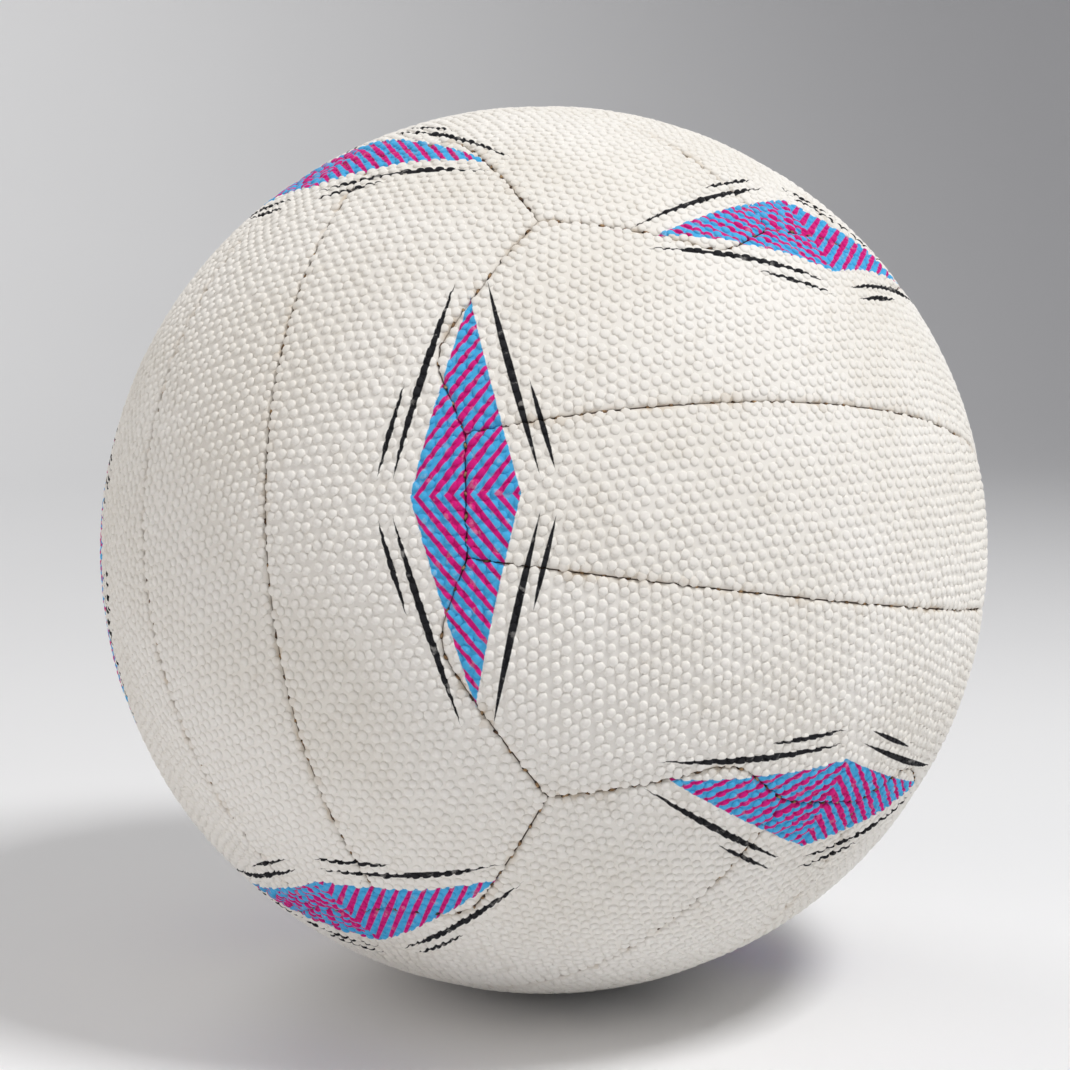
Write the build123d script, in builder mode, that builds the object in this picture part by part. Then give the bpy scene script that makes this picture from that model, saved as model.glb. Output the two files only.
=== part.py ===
# Netball of size 5. Eighteen grained rubber panels lie in six groups of three strips, sewn edge to edge
# round an air bladder. Every straight seam is part of a great circle, so its plane passes through the
# ball's centre. The origin is the centre, and +Z is up as the ball lies on a floor.
import os
from math import cos, pi, radians, sin, sqrt, tan

from build123d import *

# Cover, in millimetres
ball_circumference = 700.0
face_thickness = 1.8
lining_thickness = 1.4
shoulder_radius = 2.0
bend_radius = 8.0
junction_radius = 3.0

# Seam layout, in degrees seen from the ball's centre, along and across the strips of one group
middle_half_width_angle = 11.6
middle_end_angle = 53.5
bend_along_angle = 57.7
bend_across_angle = 28.7

# Sewing thread
thread_diameter = 0.7
thread_clearance = 0.02
thread_end_gap = 0.7

# Bladder and valve
bladder_clearance = 0.15
bladder_thickness = 0.9
valve_neck_radius = 4.0
valve_hole_clearance = 0.15
valve_recess = 0.6
valve_flange_radius = 13.0
valve_flange_thickness = 1.2
valve_sleeve_depth = 9.0
core_radius = 2.4
core_head_radius = 3.2
core_head_thickness = 1.0
core_tip_length = 1.5
core_tip_chamfer = 0.8
needle_radius = 1.0
needle_lead_in = 0.5

# How the ball lies on the floor, in degrees: turned about its own axis, then rolled and leant back
ball_turn = -45.3
ball_roll = -0.9
ball_lean = -14.5

# Worked out from the above
ball_radius = ball_circumference / (2 * pi)
cover_inside = ball_radius - face_thickness - lining_thickness
bladder_radius = cover_inside - bladder_clearance
bladder_inside = bladder_radius - bladder_thickness
ball_centre = (0, 0, 0)
half_turn = 180
# The groups face as a cube's sides do, and three of them meet on each diagonal
diagonal_angle = 45
# Spheres are turned so that their poles lie outside the strip being cut
poles_aside = (90, 0, 0)

# Each group of strips looks along its own +Z, and its strips run along its own X
group_planes = {
    "top": Plane(ball_centre, x_dir=(1, 0, 0), z_dir=(0, 0, 1)),
    "bottom": Plane(ball_centre, x_dir=(1, 0, 0), z_dir=(0, 0, -1)),
    "right_front": Plane(ball_centre, x_dir=(0, 1, 0), z_dir=(1, 0, 0)),
    "left_back": Plane(ball_centre, x_dir=(0, 1, 0), z_dir=(-1, 0, 0)),
    "right_back": Plane(ball_centre, x_dir=(0, 0, 1), z_dir=(0, 1, 0)),
    "left_front": Plane(ball_centre, x_dir=(0, 0, 1), z_dir=(0, -1, 0)),
}
ball_lie = Rot(X=ball_lean) * Rot(Y=ball_roll) * Rot(Z=ball_turn)
group_places = {group: ball_lie * plane.location for group, plane in group_planes.items()}
next_group = group_planes["right_back"]
valve_group = "left_back"
valve_place = group_places[valve_group]
os.makedirs("parts", exist_ok=True)


# Where seams meet or turn, as sight lines from the ball's centre
def sight_line(along_angle, across_angle):
    """Direction at the given angles along and across the group's strips."""
    return Vector(tan(radians(along_angle)), tan(radians(across_angle)), 1)


def far_end(sight):
    """The same place at the other end of the group."""
    return Vector(-sight.X, sight.Y, sight.Z)


def far_side(sight):
    """The same place on the other side of the group."""
    return Vector(sight.X, -sight.Y, sight.Z)


strip_seam_end = sight_line(middle_end_angle, middle_half_width_angle)
bend = sight_line(bend_along_angle, bend_across_angle)
group_corner = sight_line(diagonal_angle, diagonal_angle)
middle_corners = [strip_seam_end, far_end(strip_seam_end)]
middle_corners += [far_side(corner) for corner in reversed(middle_corners)]
side_corners = [strip_seam_end, bend, group_corner]
side_corners += [far_end(corner) for corner in reversed(side_corners)]


# A strip is cut from a spherical shell by the planes of its seams, each plane moved in by an inset
def cut_strip(seam_sights, outside, inset):
    """Part of the shell from the cover's inside outwards, within the seams that join the sight lines."""
    with BuildPart() as strip:
        Sphere(outside, rotation=poles_aside)
        Sphere(cover_inside, rotation=poles_aside, mode=Mode.SUBTRACT)
        for start, finish in zip(seam_sights, seam_sights[1:] + seam_sights[:1]):
            seam = Plane(ball_centre, z_dir=start.cross(finish))
            split(bisect_by=seam.offset(inset), keep=Keep.TOP)
    return strip.part


def middle_strip(outside, inset):
    """Straight strip with square ends."""
    return cut_strip(middle_corners, outside, inset)


def side_strip(outside, inset):
    """Strip with bent ends, whose long side the next group's three strips bite into."""
    own_bends = [bend, far_end(bend)]
    bitten_bends = [next_group.from_local_coords(sight) for sight in (bend, far_side(bend))]
    junctions = [next_group.from_local_coords(sight) for sight in middle_corners[::3]]
    roundings = [
        (own_bends, bend_radius - inset),
        (bitten_bends, bend_radius + inset),
        (junctions, junction_radius - inset),
    ]
    with BuildPart() as strip:
        add(cut_strip(side_corners, outside, inset))
        add(middle_strip(outside, -inset).moved(next_group.location), mode=Mode.SUBTRACT)
        for spin in (0, half_turn):
            biting = cut_strip(side_corners, outside, -inset)
            add(biting.moved(next_group.location * Rot(Z=spin)), mode=Mode.SUBTRACT)
        for sights, radius in roundings:
            walls = strip.edges().filter_by(GeomType.LINE)
            fillet([walls.sort_by_distance(sight.normalized() * outside)[0] for sight in sights], radius)
    return strip.part


# The lining is a textile sheet. The rubber face wraps its top and its edges, so a panel is a tray whose
# turned-in edges reach down to the bladder and roll over into the seams
def lined_panel(strip_shape):
    """Face panel and lining of one strip."""
    lining = strip_shape(ball_radius - face_thickness, face_thickness)
    with BuildPart() as panel:
        add(strip_shape(ball_radius, 0))
        add(lining, mode=Mode.SUBTRACT)
        outside = panel.faces().filter_by(GeomType.SPHERE).sort_by(SortBy.AREA)[-1]
        fillet(outside.edges(), shoulder_radius)
    return {"panel": panel.part, "lining": lining}


middle_layers = lined_panel(middle_strip)
side_layers = lined_panel(side_strip)
strips = [("middle", middle_layers, 0), ("side_a", side_layers, 0), ("side_b", side_layers, half_turn)]
for group, place in group_places.items():
    for strip, layers, spin in strips:
        for layer, shape in layers.items():
            with BuildPart() as cover_piece:
                add(shape.moved(place * Rot(Z=spin)))
                if group == valve_group and strip == "middle":
                    with Locations(place):
                        Cylinder(
                            valve_neck_radius + valve_hole_clearance,
                            ball_radius,
                            align=(Align.CENTER, Align.CENTER, Align.MIN),
                            mode=Mode.SUBTRACT,
                        )
            cover_piece.part.label = f"{layer}_{group}_{strip}"
            # Rolled shoulders meet in mitres, so the file keeps the coarsest tolerance among them
            export_step(
                cover_piece.part,
                f"parts/{layer}_{group}_{strip}.step",
                precision_mode=PrecisionMode.GREATEST,
            )

# Sewing thread lies in the groove between two shoulders and rests on both
thread_radius = thread_diameter / 2
shoulder_centre = sqrt((ball_radius - shoulder_radius) ** 2 - shoulder_radius**2)
thread_seat = sqrt((shoulder_radius + thread_radius + thread_clearance) ** 2 - shoulder_radius**2)
thread_level = shoulder_centre + thread_seat


def on_thread(sight):
    """Point of the thread's centre line on a sight line."""
    return sight.normalized() * thread_level


def step_along(start, finish, distance):
    """Sight line at a distance from one sight line towards another, along the seam."""
    sideways = finish - start.normalized() * finish.dot(start.normalized())
    angle = distance / thread_level
    return start.normalized() * cos(angle) + sideways.normalized() * sin(angle)


def seam_arc(start, finish):
    """Great-circle stretch of thread."""
    middle = start.normalized() + finish.normalized()
    ThreePointArc(on_thread(start), on_thread(middle), on_thread(finish))


def rounded_turn(before, turn, after, radius):
    """Where a rounded turn leaves the first seam, its middle, and where it joins the second.

    The turn is a small circle of the ball that touches both seams' great circles.
    """
    first = before.cross(turn).normalized()
    second = turn.cross(after).normalized()
    if first.cross(second).dot(turn) < 0:
        first, second = -first, -second
    inward = (first + second).normalized()
    outward = turn.normalized()
    reach = radius / thread_level
    lift = reach / first.dot(inward)
    pole = inward * lift + outward * sqrt(1 - lift**2)
    nearest = (outward - pole * pole.dot(outward)).normalized()
    return pole - first * reach, pole * sqrt(1 - reach**2) + nearest * reach, pole - second * reach


def thread_route(sights, radii):
    """Great-circle stretches from the first sight line to the last, each turn between them rounded."""
    start = sights[0]
    for before, turn, after, radius in zip(sights, sights[1:], sights[2:], radii):
        leave, middle, join = rounded_turn(before, turn, after, radius)
        seam_arc(start, leave)
        ThreePointArc(on_thread(leave), on_thread(middle), on_thread(join))
        start = join
    seam_arc(start, sights[-1])


def laid_thread(sights, radii):
    """One length of thread in a seam."""
    with BuildPart() as thread:
        with BuildLine() as route:
            thread_route(sights, radii)
        with BuildSketch(Plane(route.line @ 0, z_dir=route.line % 0)):
            Circle(thread_radius)
        sweep()
    return thread.part


half_end = [step_along(group_corner, bend, thread_end_gap), bend, strip_seam_end]
half_radii = [bend_radius, junction_radius]
other_half = [far_side(sight) for sight in reversed(half_end)]
end_shape = laid_thread(half_end + other_half, half_radii + half_radii[::-1])
strip_start = step_along(strip_seam_end, far_end(strip_seam_end), thread_end_gap)
strip_shape = laid_thread([strip_start, far_end(strip_start)], [])
for group, place in group_places.items():
    for end, spin in (("a", 0), ("b", half_turn)):
        with BuildPart() as end_thread:
            add(end_shape.moved(place * Rot(Z=spin)))
        end_thread.part.label = f"end_thread_{group}_{end}"
        export_step(end_thread.part, f"parts/end_thread_{group}_{end}.step")
    with BuildPart() as strip_threads:
        for spin in (0, half_turn):
            add(strip_shape.moved(place * Rot(Z=spin)))
    strip_threads.part.label = f"strip_threads_{group}"
    export_step(strip_threads.part, f"parts/strip_threads_{group}.step")

# Bladder, with the hole that the valve's neck comes through
with BuildPart() as bladder:
    with Locations(valve_place):
        Sphere(bladder_radius)
        Sphere(bladder_inside, mode=Mode.SUBTRACT)
        Cylinder(
            valve_neck_radius,
            ball_radius,
            align=(Align.CENTER, Align.CENTER, Align.MIN),
            mode=Mode.SUBTRACT,
        )
bladder.part.label = "bladder"
export_step(bladder.part, "parts/bladder.step")

# The valve's profiles lie in a plane through its axis, with heights measured from the ball's centre
valve_axis = Axis(ball_centre, Plane(valve_place).z_dir)
valve_section = Plane(ball_centre, x_dir=Plane(valve_place).x_dir, z_dir=-Plane(valve_place).y_dir)
valve_top = ball_radius - valve_recess
head_under = valve_top - core_head_thickness
sleeve_end = bladder_inside - valve_sleeve_depth
flange_under = bladder_inside - valve_flange_thickness
core_tip = sleeve_end - core_tip_length


def on_sphere(sphere_radius, from_axis):
    """Profile point of a sphere about the ball's centre at a distance from the valve's axis."""
    return (from_axis, sqrt(sphere_radius**2 - from_axis**2))


def dome_arc(sphere_radius, start, finish):
    """Arc of a sphere about the ball's centre between two distances from the valve's axis."""
    middle = (start + finish) / 2
    ThreePointArc(*[on_sphere(sphere_radius, from_axis) for from_axis in (start, middle, finish)])


# Valve housing: a neck through the cover, a flange bonded inside the bladder and a sleeve for the core
with BuildPart() as valve_housing:
    with BuildSketch(valve_section):
        with BuildLine():
            Polyline(
                (core_head_radius, valve_top),
                (valve_neck_radius, valve_top),
                on_sphere(bladder_inside, valve_neck_radius),
            )
            dome_arc(bladder_inside, valve_neck_radius, valve_flange_radius)
            Line(on_sphere(bladder_inside, valve_flange_radius), on_sphere(flange_under, valve_flange_radius))
            dome_arc(flange_under, valve_flange_radius, valve_neck_radius)
            Polyline(
                on_sphere(flange_under, valve_neck_radius),
                (valve_neck_radius, sleeve_end),
                (core_radius, sleeve_end),
                (core_radius, head_under),
                (core_head_radius, head_under),
                (core_head_radius, valve_top),
            )
        make_face()
    revolve(axis=valve_axis)
valve_housing.part.label = "valve_housing"
export_step(valve_housing.part, "parts/valve_housing.step")

# Valve core: a headed plug with the hole that a pump needle goes through
with BuildPart() as valve_core:
    with BuildSketch(valve_section):
        with BuildLine():
            Polyline(
                (needle_radius, valve_top - needle_lead_in),
                (needle_radius + needle_lead_in, valve_top),
                (core_head_radius, valve_top),
                (core_head_radius, head_under),
                (core_radius, head_under),
                (core_radius, core_tip + core_tip_chamfer),
                (core_radius - core_tip_chamfer, core_tip),
                (needle_radius, core_tip),
                close=True,
            )
        make_face()
    revolve(axis=valve_axis)
valve_core.part.label = "valve_core"
export_step(valve_core.part, "parts/valve_core.step")
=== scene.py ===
import bpy
import numpy as np
from mathutils import Matrix


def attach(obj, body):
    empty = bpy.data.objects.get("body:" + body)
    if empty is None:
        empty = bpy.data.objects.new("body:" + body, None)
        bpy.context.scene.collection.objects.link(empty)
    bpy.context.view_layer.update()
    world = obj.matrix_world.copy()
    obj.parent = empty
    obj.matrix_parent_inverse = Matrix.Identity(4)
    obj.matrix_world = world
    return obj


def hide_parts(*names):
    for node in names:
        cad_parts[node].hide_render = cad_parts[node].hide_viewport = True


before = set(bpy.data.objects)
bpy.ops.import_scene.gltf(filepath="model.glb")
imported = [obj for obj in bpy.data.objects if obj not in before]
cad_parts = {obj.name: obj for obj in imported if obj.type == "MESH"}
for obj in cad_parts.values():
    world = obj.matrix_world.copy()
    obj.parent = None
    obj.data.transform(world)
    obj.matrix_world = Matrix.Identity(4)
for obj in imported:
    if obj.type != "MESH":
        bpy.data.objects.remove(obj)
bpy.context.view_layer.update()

# The cover: six groups of three rubber strips, one group on each face of an imagined cube, with the strips
# of neighbouring groups square to one another. Each strip is moulded with hundreds of round pimples, its
# edges are turned in, and it is sewn to its neighbours. One middle strip has the hole for the valve.
ball_radius = 700 / (2 * np.pi)
metre = 0.001


def turned(axis, degrees):
    """Rotation matrix about one axis: the plane of the other two axes turns by the angle."""
    first, second = (axis + 1) % 3, (axis + 2) % 3
    matrix = np.eye(3)
    matrix[[first, second], [first, second]] = np.cos(np.radians(degrees))
    matrix[second, first] = np.sin(np.radians(degrees))
    matrix[first, second] = -np.sin(np.radians(degrees))
    return matrix


def to_sphere(points):
    """Points moved along their own direction to a distance of one from the ball's centre."""
    return points / np.linalg.norm(points, axis=-1, keepdims=True)


ball_lie = turned(0, -14.5) @ turned(1, -0.9) @ turned(2, -45.3)
runs_and_faces = {
    "top": ((1, 0, 0), (0, 0, 1)),
    "bottom": ((1, 0, 0), (0, 0, -1)),
    "right_front": ((0, 1, 0), (1, 0, 0)),
    "left_back": ((0, 1, 0), (-1, 0, 0)),
    "right_back": ((0, 0, 1), (0, 1, 0)),
    "left_front": ((0, 0, 1), (0, -1, 0)),
}
group_turns = {
    group: ball_lie @ np.column_stack([run, np.cross(face, run), face])
    for group, (run, face) in runs_and_faces.items()
}

# Where seams meet or turn, as tangents of the angles along and across a group's strips
strip_half_width = np.tan(np.radians(11.6))
strip_end_angle = np.radians(53.5)
strip_end = np.tan(strip_end_angle)
bend_along, bend_across = np.tan(np.radians([57.7, 28.7]))
notch_bend = (bend_across / bend_along, 1 / bend_along)
notch_corner = (strip_half_width / strip_end, 1 / strip_end)
bend_tangent, corner_tangent = 6.5 / ball_radius, 1.6 / ball_radius


def seam_path(corners, tangents, fractions):
    """Seam on a unit ball: great circles between the corners, each corner rounded by a quadratic curve that
    starts and stops at its tangent length, read at fractions of the whole length."""
    corners = to_sphere(np.array([(along, across, 1) for along, across in corners]))
    sweep = np.linspace(0, 1, 25)[:, None]
    stops = [corners[:1]]
    for before, corner, after, tangent in zip(corners, corners[1:], corners[2:], tangents):
        leave = to_sphere(corner + to_sphere(before - corner) * tangent)
        join = to_sphere(corner + to_sphere(after - corner) * tangent)
        stops.append(leave * (1 - sweep) ** 2 + corner * 2 * sweep * (1 - sweep) + join * sweep**2)
    stops = np.concatenate(stops + [corners[-1:]])
    dense = to_sphere(stops[:-1, None] * (1 - sweep[:-1]) + stops[1:, None] * sweep[:-1]).reshape(-1, 3)
    dense = np.concatenate([dense, stops[-1:] / np.linalg.norm(stops[-1])])
    travelled = np.concatenate([[0], np.cumsum(np.linalg.norm(np.diff(dense, axis=0), axis=1))])
    places = np.asarray(fractions) * travelled[-1]
    return to_sphere(np.column_stack([np.interp(places, travelled, axis) for axis in dense.T]))


edge_steps = np.array([0, 0.06, 0.16, 0.32, 0.55, 0.85, 1.35, 1.8])


def edged(length, step):
    """Fractions of a length, close together at both ends and an even step apart between them."""
    count = int(round((length - 2 * edge_steps[-1]) / step)) + 1
    inner = np.linspace(edge_steps[-1], length - edge_steps[-1], count)
    return np.concatenate([edge_steps[:-1], inner, length - edge_steps[-2::-1]]) / length


def strip_grid(near, far, start, finish, along, across):
    """Coons patch on a unit ball: the blend of two long sides, plus the blend of two ends, minus the blend of
    the four corners."""
    u, v = along[None, :, None], across[:, None, None]
    sides = (1 - v) * near[None] + v * far[None]
    ends = (1 - u) * start[:, None] + u * finish[:, None]
    corners = (1 - v) * ((1 - u) * near[0] + u * near[-1]) + v * ((1 - u) * far[0] + u * far[-1])
    return to_sphere(sides + ends - corners)


def mirrored(path):
    """The same path at the other end of a group."""
    return path * np.array([-1, 1, 1])


strip_length, middle_width, side_width, face_step = 208, 45, 66, 1.8
middle_along, middle_across = edged(strip_length, face_step), edged(middle_width, face_step)
middle_near = seam_path([(-strip_end, -strip_half_width), (strip_end, -strip_half_width)], [], middle_along)
middle_finish = seam_path([(strip_end, -strip_half_width), (strip_end, strip_half_width)], [], middle_across)
middle_sides = (middle_near, middle_near * np.array([1, -1, 1]), mirrored(middle_finish), middle_finish)
side_along, side_across = edged(strip_length, face_step), edged(side_width, face_step)
half_notch = [(1, 1), notch_bend, notch_corner]
side_near = seam_path([(-strip_end, strip_half_width), (strip_end, strip_half_width)], [], side_along)
side_far = seam_path(
    [(-along, across) for along, across in half_notch] + half_notch[::-1],
    [bend_tangent, corner_tangent, corner_tangent, bend_tangent],
    side_along,
)
side_finish = seam_path(
    [(strip_end, strip_half_width), (bend_along, bend_across), (1, 1)], [bend_tangent], side_across
)
side_sides = (side_near, side_far, mirrored(side_finish), side_finish)


def seam_distance(points, sides):
    """Distance in millimetres from points on a unit ball to the nearest seam, the unit direction towards it,
    and whether the point lies within the seams: the seams' turns round it add up to a full turn."""
    near, far, start, finish = sides
    ring = np.concatenate([near[:-1], finish[:-1], far[:0:-1], start[:0:-1]])
    step = np.roll(ring, -1, axis=0) - ring
    found = []
    for some in np.array_split(points, max(1, len(points) // 1500)):
        towards = ring[None] - some[:, None]
        share = np.clip(-(towards * step).sum(2) / (step * step).sum(1), 0, 1)
        gap = towards + share[:, :, None] * step
        length = np.linalg.norm(gap, axis=2)
        nearest = (np.arange(len(some)), length.argmin(1))
        after = np.roll(towards, -1, axis=1)
        turn = np.arctan2((np.cross(towards, after) * some[:, None]).sum(2), (towards * after).sum(2))
        direction = gap[nearest] / np.maximum(length[nearest], 1e-9)[:, None]
        inside = turn.sum(1) > np.pi
        found.append(np.column_stack([length[nearest] * ball_radius, direction, inside]))
    found = np.concatenate(found)
    return found[:, 0], found[:, 1:4], found[:, 4] > 0.5


edge_roll, edge_depth = 1.0, 0.8
face_thickness, edge_thickness = 1.8, 3.2
pull_depth, pull_width = 0.35, 3.5
pimple_height, pimple_spacing, pimple_shake = 0.62, 2.75, 0.18
pimple_rings = np.array([(1.22, -0.14), (1.12, 0.22), (0.86, 0.46), (0.46, 0.59)])
pimple_sides = 8
lattice_half_count, lattice_reach = 75, np.array([112, 46])
seam_room, seam_nudge, outside_kept, seam_clearance = 1.7, 0.65, 0.5, 0.85


def rolled(distance):
    """Drop of the turned-in edge and its lean: a quarter circle that starts level and ends upright, and a
    shallow dip that dies away from the seam, where the sewing pulls the strip in."""
    lean = np.clip(1 - distance / edge_roll, 0, 1)
    return edge_depth * (1 - np.sqrt(1 - lean**2)) + pull_depth * np.exp(-distance / pull_width), lean


def flat_places(points, tilt):
    """Millimetres along and across a strip's middle line, unrolled: its own longitude and latitude times the
    ball's radius."""
    x, y, z = (points @ turned(0, tilt)).T
    return ball_radius * np.column_stack([np.arctan2(x, z), np.arcsin(np.clip(y, -1, 1))])


def pimple_places(sides, tilt, dice):
    """Directions of pimples: a turned triangular lattice on the unrolled strip, each place shaken a little,
    kept where it lies within the seams, and nudged inwards where it is close to one."""
    index = np.arange(-lattice_half_count, lattice_half_count + 1)
    column, row = np.meshgrid(index, index)
    lattice = pimple_spacing * np.column_stack([(column + row / 2).ravel(), row.ravel() * np.sqrt(0.75)])
    turn = turned(2, dice.uniform(0, 60))[:2, :2]
    lattice = lattice @ turn + pimple_spacing * pimple_shake * dice.uniform(-1, 1, lattice.shape)
    lattice = lattice[(np.abs(lattice) < lattice_reach).all(axis=1)]
    along, across = (lattice / ball_radius).T
    level = np.cos(across)
    places = np.column_stack([np.sin(along) * level, np.sin(across), np.cos(along) * level])
    places = places @ turned(0, tilt).T
    distance, direction, inside = seam_distance(places, sides)
    distance = np.where(inside, distance, -distance)
    inward = np.where(inside, -1, 1)[:, None] * direction
    near = distance > -outside_kept
    nudge = seam_nudge * np.clip(seam_room - distance, 0, None) / ball_radius
    places = to_sphere(places + inward * nudge[:, None])[near]
    distance, direction, inside = seam_distance(places, sides)
    kept = inside & (distance > seam_clearance)
    return places[kept], distance[kept], direction[kept]


def pimples(places, distance, direction, dice):
    """Low round buttons: rings of points about each place, out from the rolled surface along its normal."""
    drop, lean = rolled(distance)
    out = to_sphere(places * np.sqrt(1 - lean**2)[:, None] + direction * lean[:, None])
    foot = places * (ball_radius - pimple_height - drop)[:, None]
    first = to_sphere(np.cross(out, np.roll(out, 1, axis=1) + 0.3))
    second = np.cross(out, first)
    size = dice.uniform(0.9, 1.08, len(places)) * (1 - 0.25 * lean)
    height = dice.uniform(0.8, 1.0, len(places))
    angle = np.arange(pimple_sides) * 2 * np.pi / pimple_sides + dice.uniform(0, 1, (len(places), 1))
    round_trip = np.cos(angle)[..., None] * first[:, None] + np.sin(angle)[..., None] * second[:, None]
    rings = [
        foot[:, None] + round_trip * (size * radius)[:, None, None]
        + (out * (rise * height - 0.3 * lean * (rise < 0))[:, None])[:, None]
        for radius, rise in pimple_rings
    ]
    crown = (foot + out * (pimple_height * height)[:, None])[:, None]
    points = np.concatenate(rings + [crown], axis=1)
    ring = np.arange(pimple_sides)
    after = np.roll(ring, -1)
    wall = np.column_stack([ring, after, after + pimple_sides, ring + pimple_sides])
    last = (len(pimple_rings) - 1) * pimple_sides
    walls = np.concatenate([wall + start for start in range(0, last, pimple_sides)])
    caps = np.column_stack([ring + last, after + last, np.full(pimple_sides, last + pimple_sides)])
    offsets = (np.arange(len(places)) * points.shape[1])[:, None, None]
    quads = (walls[None] + offsets).reshape(-1, 4)
    triangles = (caps[None] + offsets).reshape(-1, 3)
    rise = np.append(np.repeat(np.clip(pimple_rings[:, 1] / pimple_height, 0, 1), pimple_sides), 1.0)
    return points.reshape(-1, 3), quads, triangles, np.tile(rise, len(places))


def strip_face(sides, along, across):
    """Strip without its pimples: the Coons patch, dropped by the rolled edge, and the same patch inside it,
    deeper along the turned-in edge, joined all round. Gives the points' distances from the seam too, and the
    inside's rim has one below zero."""
    grid = strip_grid(*sides, along, across)
    rows, columns = grid.shape[:2]
    grid = grid.reshape(-1, 3)
    index = np.arange(rows * columns).reshape(rows, columns)
    edge = np.concatenate([index[0, :-1], index[:-1, -1], index[-1, :0:-1], index[:0:-1, 0]])
    distance = seam_distance(grid, sides)[0]
    distance[edge] = 0
    outside = grid * (ball_radius - pimple_height - rolled(distance)[0])[:, None]
    depth = np.interp(distance, edge_steps[-2:], [edge_thickness, face_thickness])
    inside = grid * (ball_radius - depth)[:, None]
    quads = np.stack([index[:-1, :-1], index[:-1, 1:], index[1:, 1:], index[1:, :-1]], axis=2).reshape(-1, 4)
    after = np.roll(edge, -1)
    inside_quads = quads[:, ::-1] + len(grid)
    edge_quads = np.column_stack([edge, edge + len(grid), after + len(grid), after])
    points = np.concatenate([outside, inside])
    distance = np.concatenate([distance, distance])
    distance[edge + len(grid)] = -0.01
    return points, np.concatenate([inside_quads, edge_quads, quads]), distance


land_top = [(8.2, -0.2), (7.9, 0.06), (7.2, 0.14), (5.2, 0.14), (4.6, 0.02), (4.25, -0.3)]
valve_land = np.array(land_top + [(4.15, -1.18), (8.4, -1.18)])
hole_cut, land_clear, land_gap = 6.2, 9.2, 9.0
land_sides = 64


def land_round_hole():
    """Smooth moulded land round the valve's hole: a profile of radius and rise carried round the hole."""
    angle = np.linspace(0, 2 * np.pi, land_sides, endpoint=False)
    radius, rise = valve_land.T[:, :, None]
    level = np.sqrt((ball_radius - pimple_height) ** 2 - radius**2) + rise
    points = np.stack([radius * np.cos(angle), radius * np.sin(angle), level + 0 * angle], axis=2)
    index = np.arange(len(valve_land) * land_sides).reshape(-1, land_sides)
    after = np.roll(index, -1, axis=1)
    quads = np.stack([index[:-1], after[:-1], after[1:], index[1:]], axis=2).reshape(-1, 4)
    return points.reshape(-1, 3), quads


def made_piece(name, points, quads, triangles, attributes=None, map_places=None):
    """Smooth mesh object of quads and triangles, its points given in millimetres."""
    mesh = bpy.data.meshes.new(name)
    corners = np.concatenate([quads.ravel(), triangles.ravel()]).astype(np.int32)
    starts = np.concatenate([np.arange(len(quads)) * 4, len(quads) * 4 + np.arange(len(triangles)) * 3])
    mesh.vertices.add(len(points))
    mesh.vertices.foreach_set("co", (points * metre).astype(np.float32).ravel())
    mesh.loops.add(len(corners))
    mesh.loops.foreach_set("vertex_index", corners)
    mesh.polygons.add(len(starts))
    mesh.polygons.foreach_set("loop_start", starts.astype(np.int32))
    mesh.polygons.foreach_set("use_smooth", np.ones(len(starts), bool))
    mesh.update(calc_edges=True)
    for attribute, values in (attributes or {}).items():
        layer = mesh.attributes.new(attribute, "FLOAT", "POINT")
        layer.data.foreach_set("value", values.astype(np.float32))
    if map_places is not None:
        layer = mesh.uv_layers.new(name="OFBake")
        layer.data.foreach_set("uv", map_places[corners].astype(np.float32).ravel())
    piece = bpy.data.objects.new(name, mesh)
    bpy.context.scene.collection.objects.link(piece)
    return piece


class Field:
    """A value in a shader. Its operators add Math nodes, and node adds a node of any other kind."""

    def __init__(self, tree, socket=None):
        self.tree = tree
        self.socket = socket

    def node(self, kind, settings, sockets, output=0):
        """A node of a kind: its settings are made first, then its sockets set or linked. Gives one output."""
        made = self.tree.nodes.new(kind)
        for setting, value in settings.items():
            setattr(made, setting, value)
        for socket, value in sockets.items():
            if isinstance(value, Field):
                self.tree.links.new(value.socket, made.inputs[socket])
            else:
                made.inputs[socket].default_value = value
        return Field(self.tree, made.outputs[output])

    def maths(self, operation, *values):
        """A Math node of the values."""
        return self.node("ShaderNodeMath", {"operation": operation}, dict(enumerate(values)))

    def __add__(self, other):
        return self.maths("ADD", self, other)

    def __sub__(self, other):
        return self.maths("SUBTRACT", self, other)

    def __rsub__(self, other):
        return self.maths("SUBTRACT", other, self)

    def __mul__(self, other):
        return self.maths("MULTIPLY", self, other)

    def __truediv__(self, other):
        return self.maths("DIVIDE", self, other)

    def __abs__(self):
        return self.maths("ABSOLUTE", self)

    __radd__, __rmul__ = __add__, __mul__

    def between(self, low, high):
        """Smooth step from 0 at low to 1 at high."""
        smooth = {"interpolation_type": "SMOOTHSTEP"}
        return self.node("ShaderNodeMapRange", smooth, {0: self, 1: low, 2: high})

    def blend(self, below, above):
        """Colour below where this value is 0, and colour above where it is 1."""
        return self.node("ShaderNodeMix", {"data_type": "RGBA"}, {0: self, 6: below, 7: above}, 2)

    def speckle(self, places, scale, detail=2.0):
        """Noise from 0 to 1 over places in metres."""
        return self.node("ShaderNodeTexNoise", {}, {"Vector": places, "Scale": scale, "Detail": detail})

    def bumps(self, strength, depth):
        """Normal of a surface that this value raises by up to a depth in metres."""
        return self.node("ShaderNodeBump", {}, {"Strength": strength, "Distance": depth, "Height": self})


def paint(red, green, blue):
    """Linear colour of a screen colour given from 0 to 255."""
    screen = np.array([red, green, blue]) / 255
    linear = np.where(screen > 0.04045, ((screen + 0.055) / 1.055) ** 2.4, screen / 12.92)
    return (*linear.tolist(), 1.0)


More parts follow.
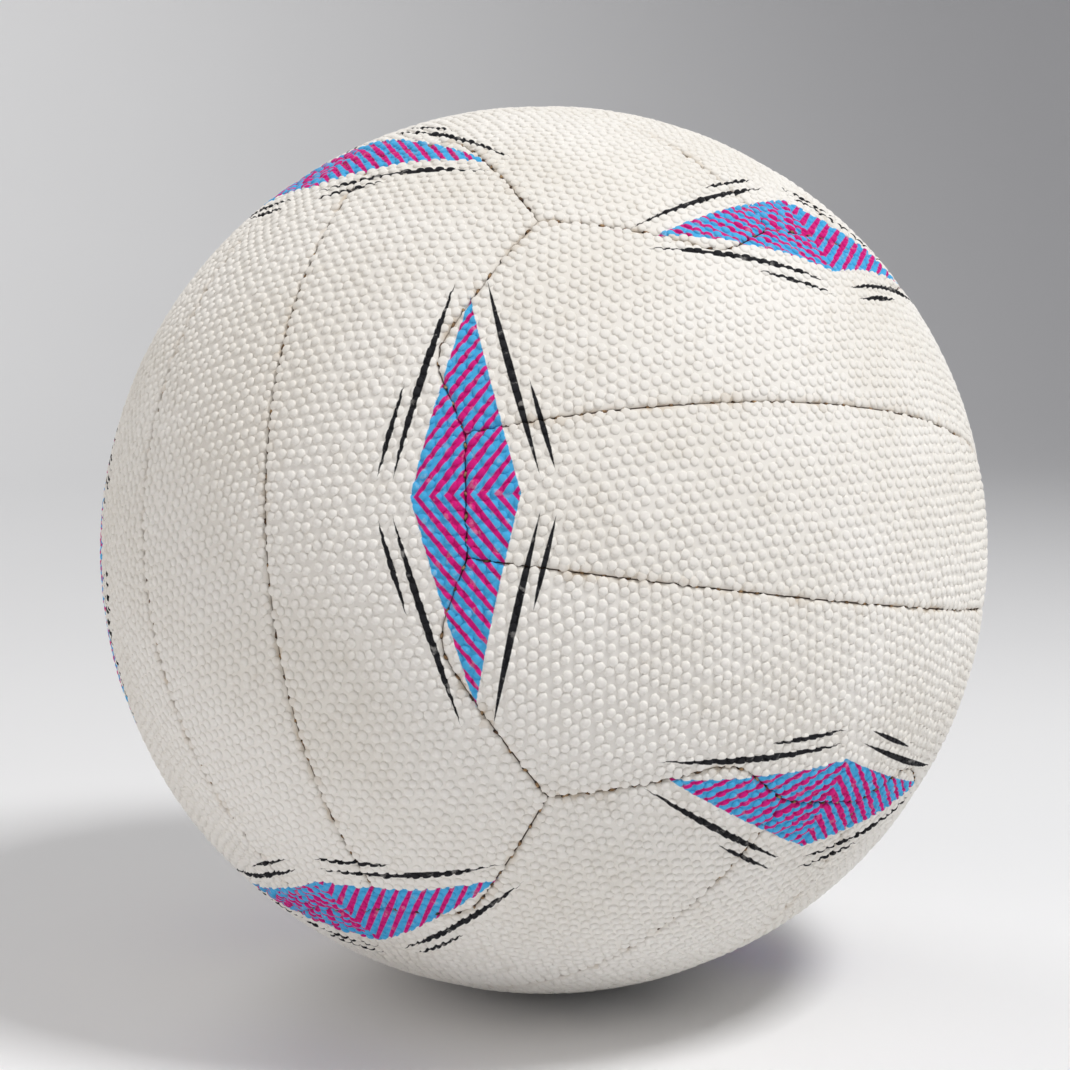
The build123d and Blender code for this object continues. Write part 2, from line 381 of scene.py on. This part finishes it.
def new_material(name):
    """Empty material with a Principled shader. Gives the material, a Field to build with, and the shader."""
    material = bpy.data.materials.new(name)
    material.use_nodes = True
    tree = material.node_tree
    return material, Field(tree), tree.nodes["Principled BSDF"]


def feed(shader, socket, field):
    """Links a value to one of the shader's sockets."""
    field.tree.links.new(field.socket, shader.inputs[socket])


face_rubber, build, shader = new_material("face_rubber")
places = build.node("ShaderNodeTexCoord", {}, {}, "Object")
seam_gap = build.node("ShaderNodeAttribute", {"attribute_name": "seam_distance"}, {}, "Fac")
relief = build.node("ShaderNodeAttribute", {"attribute_name": "relief"}, {}, "Fac")

# The print: a hatched lozenge on each of the twelve group boundaries, with tapered pin lines beside it
dot = {"operation": "DOT_PRODUCT"}
compass = [
    abs(build.node("ShaderNodeVectorMath", dot, {0: places, 1: tuple(axis)}, "Value"))
    for axis in ball_lie.T.tolist()
]
lozenge_half_length, lozenge_half_width = 46.0, 12.0
lozenge_steepness = np.hypot(1 / lozenge_half_length, 1 / lozenge_half_width)
hatch_pitch, hatch_along, hatch_across = 2.8, 0.62, 0.78
long_pin = {"reach": 1.42, "middle": 27, "half_length": 23, "half_width": 0.85}
short_pin = {"reach": 1.72, "middle": 15, "half_length": 10, "half_width": 0.6}
shake = build.speckle(places, 900.0)
ink_ragged = (shake - 0.5) * 0.5


def boundary_places(face, run, side):
    """Millimetres along the boundary between two groups and across it, from the arcsine and the arctangent of
    a direction's parts."""
    length = build.maths("SQRT", face * face + run * run + side * side)
    along = build.maths("ARCSINE", side / length) * ball_radius
    across = (build.maths("ARCTAN2", run, face) - strip_end_angle) * ball_radius
    return along, across


def pin_line(along, reach, pin):
    """Mask of a line beside the lozenge: its width falls with the square of the distance from its middle."""
    taper = (along - pin["middle"]) / pin["half_length"]
    gap = (reach - pin["reach"]) / lozenge_steepness
    return (pin["half_width"] * (1 - taper * taper) - abs(gap) + ink_ragged * 0.5).between(-0.1, 0.1)


def printed(face, run, side):
    """Masks for one kind of boundary: the lozenge, where its shares along and across add up to less than one,
    its pin lines, and its pink hatching, slanting stripes that get narrower away from its centre."""
    along, across = boundary_places(face, run, side)
    reach = along / lozenge_half_length + abs(across) / lozenge_half_width
    fill = ((1 - reach) / lozenge_steepness + ink_ragged).between(-0.12, 0.12)
    pins = build.maths("MAXIMUM", pin_line(along, reach, long_pin), pin_line(along, reach, short_pin))
    phase = build.maths("FRACT", (along * hatch_along + across * hatch_across) / hatch_pitch)
    pink_share = 0.68 - 0.36 * reach
    pink = (abs(phase - 0.5) - 0.5 * (1 - pink_share)).between(-0.06, 0.06)
    return fill, pins, pink


x, y, z = compass
fills, lines, pinks = zip(printed(x, y, z), printed(y, z, x), printed(z, x, y))


def largest(fields):
    """The largest of three values."""
    return build.maths("MAXIMUM", build.maths("MAXIMUM", fields[0], fields[1]), fields[2])


fill_mask, line_mask = largest(fills), largest(lines)
pink_mask = largest([pink * fill for pink, fill in zip(pinks, fills)])

# The rubber under the print: cream, cloudy and soiled in patches, with dust and painted shade in its valleys,
# a tan band beside the seams, and painted shade with patchy dirt at the seams' edges
cream, warm_cream, soiled_cream = paint(237, 234, 229), paint(231, 227, 220), paint(210, 203, 191)
valley_dust_and_shade, seam_tan, seam_brown = paint(196, 188, 174), paint(176, 152, 118), paint(74, 50, 32)
blue_ink, pink_ink, black_ink = paint(72, 172, 224), paint(208, 18, 122), paint(26, 26, 30)
worn = build.speckle(places, 420.0, 4.0).between(0.30, 0.42)
valley = 1 - relief.between(0.0, 0.45)
cloud = build.speckle(places, 22.0, 3.0)
grime = build.speckle(places, 160.0, 4.0)
rubber = cloud.between(0.35, 0.7).blend(cream, warm_cream)
rubber = (grime.between(0.55, 0.8) * 0.3).blend(rubber, soiled_cream)
# Dust and painted shade: the rubber darkens a little in the low ground between the pimples.
rubber = (valley * 0.08).blend(rubber, valley_dust_and_shade)
# A tan band beside the seams, faint everywhere and stronger in patches.
beside_seam = (1 - seam_gap.between(0.2, 1.9)) * (0.08 + 0.5 * grime.between(0.42, 0.7))
rubber = beside_seam.blend(rubber, seam_tan)
ink = pink_mask.blend(blue_ink, pink_ink)
inked = (fill_mask * (0.82 + 0.18 * worn)).blend(rubber, ink)
inked = (line_mask * (0.75 + 0.25 * worn)).blend(inked, black_ink)
# Painted shade with patchy dirt: dark brown in the seam groove, at the strip's very edge and on its turned-in
# wall.
groove_patches = build.speckle(places, 28.0, 2.0).between(0.42, 0.58)
groove_shade_and_dirt = (1 - seam_gap.between(0.04, 0.24)) * (0.25 + 0.75 * groove_patches)
feed(shader, "Base Color", groove_shade_and_dirt.blend(inked, seam_brown))
feed(shader, "Roughness", 0.76 + 0.16 * grime - 0.06 * relief)
fine = build.speckle(places, 2600.0, 3.0)
feed(shader, "Normal", fine.bumps(0.12, 0.0001))
shader.inputs["Specular IOR Level"].default_value = 0.25

side_tilt, rim_spread = -26.0, 1.012
shapes = {
    "middle": (middle_sides, middle_along, middle_across, 0.0, 0),
    "side_a": (side_sides, side_along, side_across, side_tilt, 0),
    "side_b": (side_sides, side_along, side_across, side_tilt, 180),
}
faces = {strip: strip_face(*shape[:3]) for strip, shape in shapes.items()}
for number, (group, group_turn) in enumerate(group_turns.items()):
    for strip, (sides, along, across, tilt, spin) in shapes.items():
        dice = np.random.default_rng(100 * number + len(strip) + spin)
        face, quads, face_gap = faces[strip]
        spots, spot_gap, spot_direction = pimple_places(sides, tilt, dice)
        if group == "left_back" and strip == "middle":
            quads = quads[(np.hypot(face[:, 0], face[:, 1])[quads] > hole_cut).any(axis=1)]
            clear = np.hypot(spots[:, 0], spots[:, 1]) * ball_radius > land_clear
            spots, spot_gap, spot_direction = spots[clear], spot_gap[clear], spot_direction[clear]
            land, land_quads = land_round_hole()
            quads = np.concatenate([quads, land_quads + len(face)])
            face = np.concatenate([face, land])
            face_gap = np.concatenate([face_gap, np.full(len(land), land_gap)])
        buttons, button_quads, caps, rise = pimples(spots, spot_gap, spot_direction, dice)
        points = np.concatenate([face, buttons])
        gap = np.concatenate([face_gap, np.repeat(spot_gap, len(buttons) // len(spots))])
        unrolled = flat_places(to_sphere(points), tilt)
        unrolled[gap < 0] *= rim_spread
        lowest, highest = unrolled.min(0) - 1, unrolled.max(0) + 1
        piece = made_piece(
            f"cover_{group}_{strip}",
            points @ (group_turn @ turned(2, spin)).T,
            np.concatenate([quads, button_quads + len(face)]),
            caps + len(face),
            {"seam_distance": gap, "relief": np.concatenate([np.zeros(len(face)), rise])},
            (unrolled - lowest) / (highest - lowest),
        )
        piece.data.materials.append(face_rubber)
        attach(piece, "root")
        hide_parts(f"panel_{group}_{strip}")

# The sewing: waxed thread pulled tight along every seam. Only short bites of it show, between the turned-in
# edges, and the shade of the stitch holes is painted dark on the ends of each bite.
stitch_pitch, stitch_length, stitch_width = 5.0, 2.3, 0.72
strip_seam_sunk, end_seam_sunk = 0.75, 0.45
no_triangles = np.zeros((0, 3), int)


def stitches(paths, sunk, dice):
    """Short thread bites along seams: a round profile, fullest in the middle and pinched at both ends, that
    is carried along a short stretch of the seam. Also gives how far along its half of the bite each point
    is, from 0 in the middle to 1 at the end."""
    share = np.linspace(-1, 1, 6)
    bites = []
    for path in paths:
        steps = np.linalg.norm(np.diff(path, axis=0), axis=1) * ball_radius
        travelled = np.concatenate([[0], np.cumsum(steps)])
        count = int(travelled[-1] / stitch_pitch)
        middle = (np.arange(count) + 0.5 + dice.uniform(-0.14, 0.14, count)) * travelled[-1] / count
        reach = stitch_length * dice.uniform(0.6, 1.15, count) / 2
        where = middle[:, None] + reach[:, None] * share
        bites.append(to_sphere(np.stack([np.interp(where, travelled, axis) for axis in path.T], axis=2)))
    line = np.concatenate(bites)
    count = len(line)
    sideways = np.cross(line, to_sphere(line[:, -1] - line[:, 0])[:, None])
    lean = dice.uniform(-0.4, 0.4, (count, 1)) * share
    depth = sunk + dice.uniform(-0.1, 0.15, (count, 1)) + 0.5 * share**4
    centre = line * (ball_radius - pimple_height - depth)[..., None] + sideways * lean[..., None]
    girth = stitch_width / 2 * np.sqrt(1 - (0.98 * share) ** 2)
    angle = np.arange(6) * np.pi / 3
    around = np.cos(angle)[:, None] * sideways[:, :, None] + np.sin(angle)[:, None] * line[:, :, None]
    points = (centre[:, :, None] + around * girth[None, :, None, None]).reshape(-1, 3)
    index = np.arange(36).reshape(6, 6)
    after = np.roll(index, -1, axis=1)
    quads = np.stack([index[:-1], after[:-1], after[1:], index[1:]], axis=2).reshape(-1, 4)
    caps = np.array([(0, 3, 2, 1), (0, 5, 4, 3), (30, 31, 32, 33), (30, 33, 34, 35)])
    quads = (np.concatenate([quads, caps])[None] + 36 * np.arange(count)[:, None, None]).reshape(-1, 4)
    return points, quads, np.tile(np.repeat(np.abs(share), 6), count)


thread_wax, build, shader = new_material("thread_wax")
places = build.node("ShaderNodeTexCoord", {}, {}, "Object")
strand = build.speckle(places, 1500.0, 3.0)
soil = build.speckle(places, 90.0, 3.0)
end = build.node("ShaderNodeAttribute", {"attribute_name": "bite_end"}, {}, "Fac")
thread = strand.between(0.3, 0.7).blend(paint(120, 88, 54), paint(178, 146, 104))
thread = soil.between(0.45, 0.6).blend(thread, paint(84, 58, 34))
# Painted shade: each bite darkens towards its ends, where the thread goes down into its holes.
feed(shader, "Base Color", end.between(0.15, 0.7).blend(thread, paint(44, 28, 16)))
feed(shader, "Roughness", 0.55 + 0.25 * strand)
feed(shader, "Normal", strand.bumps(0.4, 0.0001))

fine_along = np.linspace(0.01, 0.99, 400)
strip_seam = seam_path([(-strip_end, strip_half_width), (strip_end, strip_half_width)], [], fine_along)
half_end = [(1, 1), (bend_along, bend_across), (strip_end, strip_half_width)]
end_seam = seam_path(
    half_end + [(along, -across) for along, across in half_end[::-1]],
    [bend_tangent, corner_tangent, corner_tangent, bend_tangent],
    fine_along,
)
half_turn = turned(2, 180)
for number, (group, group_turn) in enumerate(group_turns.items()):
    runs = {
        f"strip_threads_{group}": ([strip_seam, strip_seam @ half_turn.T], strip_seam_sunk),
        f"end_thread_{group}_a": ([end_seam], end_seam_sunk),
        f"end_thread_{group}_b": ([end_seam @ half_turn.T], end_seam_sunk),
    }
    for offset, (node, (paths, sunk)) in enumerate(runs.items()):
        points, quads, bite_end = stitches(paths, sunk, np.random.default_rng(900 + 10 * number + offset))
        points = points @ group_turn.T
        piece = made_piece(f"stitches_{node}", points, quads, no_triangles, {"bite_end": bite_end})
        piece.data.materials.append(thread_wax)
        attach(piece, "root")
        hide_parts(node)

# The linings: plain-woven cotton and polyester cloth, bonded inside every strip between its turned-in edges,
# so that the rubber keeps its shape.
lining_cloth, build, shader = new_material("lining_cloth")
places = build.node("ShaderNodeTexCoord", {}, {}, "Object")
yarns = {"Vector": places, "Scale": 300.0, "Distortion": 1.0}
warp = build.node("ShaderNodeTexWave", {"bands_direction": "X"}, yarns)
weft = build.node("ShaderNodeTexWave", {"bands_direction": "Z"}, yarns)
weave = warp * weft
slub = build.speckle(places, 60.0, 3.0)
feed(shader, "Base Color", (weave * 0.6 + slub * 0.4).blend(paint(150, 146, 136), paint(214, 209, 196)))
feed(shader, "Roughness", 0.8 + 0.15 * slub)
feed(shader, "Normal", weave.bumps(0.5, 0.0002))


def clothe(node, material):
    """Gives a CAD node one material."""
    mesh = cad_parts[node].data
    mesh.materials.clear()
    mesh.materials.append(material)


for group in group_turns:
    for strip in shapes:
        clothe(f"lining_{group}_{strip}", lining_cloth)

# The bladder: a moulded butyl rubber balloon that holds the air and presses the linings outwards, with the
# valve bonded into its wall.
bladder_rubber, build, shader = new_material("bladder_rubber")
places = build.node("ShaderNodeTexCoord", {}, {}, "Object")
bloom = build.speckle(places, 35.0, 4.0)
feed(shader, "Base Color", bloom.between(0.35, 0.75).blend(paint(28, 27, 27), paint(52, 50, 48)))
feed(shader, "Roughness", 0.45 + 0.3 * bloom)
grain = build.speckle(places, 900.0)
feed(shader, "Normal", grain.bumps(0.2, 0.0002))
clothe("bladder", bladder_rubber)

# The valve: a soft rubber housing whose neck fills the hole in one strip, and a plug with the hole for a
# pump's needle. Both are moulded, and chalky dirt lies on them in patches.
valve_rubber, build, shader = new_material("valve_rubber")
places = build.node("ShaderNodeTexCoord", {}, {}, "Object")
chalk = build.speckle(places, 260.0, 4.0)
grain = build.speckle(places, 1800.0)
feed(shader, "Base Color", chalk.between(0.45, 0.75).blend(paint(40, 39, 38), paint(92, 88, 82)))
feed(shader, "Roughness", 0.5 + 0.3 * chalk)
feed(shader, "Normal", grain.bumps(0.25, 0.0001))
clothe("valve_housing", valve_rubber)
clothe("valve_core", valve_rubber)

# The setting: a pale matt sheet that lies level under the ball and rises far off on all sides, with painted
# shade that darkens it towards the back and the right, a soft lamp from the upper right, weaker ones from the
# left and the back, light from all round, and a camera at the photograph's angle.
sheet_half_width, sheet_flat, sheet_rise = 2600.0, 1200.0, 0.00055
sheet_lines = 81
sheet_floor = -ball_radius - 0.15


def studio_sheet():
    """Height grows with the square of the distance beyond a flat middle."""
    sideways, forwards = np.meshgrid(*2 * [np.linspace(-sheet_half_width, sheet_half_width, sheet_lines)])
    height = sheet_floor + sheet_rise * np.clip(np.hypot(sideways, forwards) - sheet_flat, 0, None) ** 2
    points = np.stack([sideways, forwards, height], axis=2)
    index = np.arange(sheet_lines**2).reshape(sheet_lines, sheet_lines)
    quads = np.stack([index[:-1, :-1], index[:-1, 1:], index[1:, 1:], index[1:, :-1]], axis=2).reshape(-1, 4)
    return points.reshape(-1, 3), quads


sheet_points, sheet_quads = studio_sheet()
floor = made_piece("studio_sheet", sheet_points, sheet_quads, no_triangles)
pale_sheet, build, shader = new_material("pale_sheet")
places = build.node("ShaderNodeTexCoord", {}, {}, "Object")
drift = build.speckle(places, 3.0)
sheet = drift.blend(paint(238, 238, 239), paint(244, 244, 245))
sideways = build.node("ShaderNodeSeparateXYZ", {}, {0: places}, "X")
backwards = build.node("ShaderNodeSeparateXYZ", {}, {0: places}, "Y")
# Painted shade on the sheet: grey towards the back and the right.
painted_backdrop_shade = backwards.between(0.1, 1.4) * sideways.between(-0.6, 0.6)
feed(shader, "Base Color", painted_backdrop_shade.blend(sheet, paint(176, 176, 179)))
shader.inputs["Roughness"].default_value = 0.9
floor.data.materials.append(pale_sheet)


def lamp(name, place, aim, size, power, tint):
    """Square soft lamp that faces a point: its turn has the line from that point to the lamp as its back."""
    light = bpy.data.lights.new(name, "AREA")
    light.size = size
    light.energy = power
    light.color = tint
    holder = bpy.data.objects.new(name, light)
    bpy.context.scene.collection.objects.link(holder)
    holder.location = place
    back = to_sphere(np.array(place) - np.array(aim))
    right = to_sphere(np.cross([0.0, 0.0, 1.0], back))
    up = np.cross(back, right)
    holder.rotation_euler = Matrix(np.column_stack([right, up, back]).tolist()).to_euler()


ball_centre, far_sheet = (0.0, 0.0, 0.0), (-0.2, 0.6, -0.05)
white, warm_white = (1.0, 1.0, 1.0), (1.0, 0.92, 0.86)
lamp("soft_key", (0.6, -0.45, 1.12), ball_centre, 0.3, 12.0, white)
lamp("left_fill", (-1.25, -0.6, 0.6), ball_centre, 0.8, 3.2, warm_white)
lamp("back_wash", (-0.9, 1.3, 1.5), far_sheet, 1.0, 7.5, white)
world = bpy.data.worlds.new("all_round")
world.use_nodes = True
world.node_tree.nodes["Background"].inputs["Color"].default_value = (*white, 1.0)
world.node_tree.nodes["Background"].inputs["Strength"].default_value = 0.36
bpy.context.scene.world = world
bpy.context.scene.view_settings.view_transform = "Standard"

camera_rise = np.radians(8)
camera_distance = 5.815 * ball_radius * metre
picture_width, focal_pixels, sensor_width = 1070, 2546, 36
back = np.array([0, -np.cos(camera_rise), np.sin(camera_rise)])
up = np.array([0, np.sin(camera_rise), np.cos(camera_rise)])
right = np.array([1.0, 0, 0])
camera = bpy.data.objects.new("camera", bpy.data.cameras.new("camera"))
camera.data.sensor_width = sensor_width
camera.data.lens = sensor_width * focal_pixels / picture_width
camera.location = camera_distance * (back - 0.00334 * right + 0.00562 * up)
camera.rotation_euler = (np.pi / 2 - camera_rise, 0, 0)
bpy.context.scene.collection.objects.link(camera)
bpy.context.scene.camera = camera
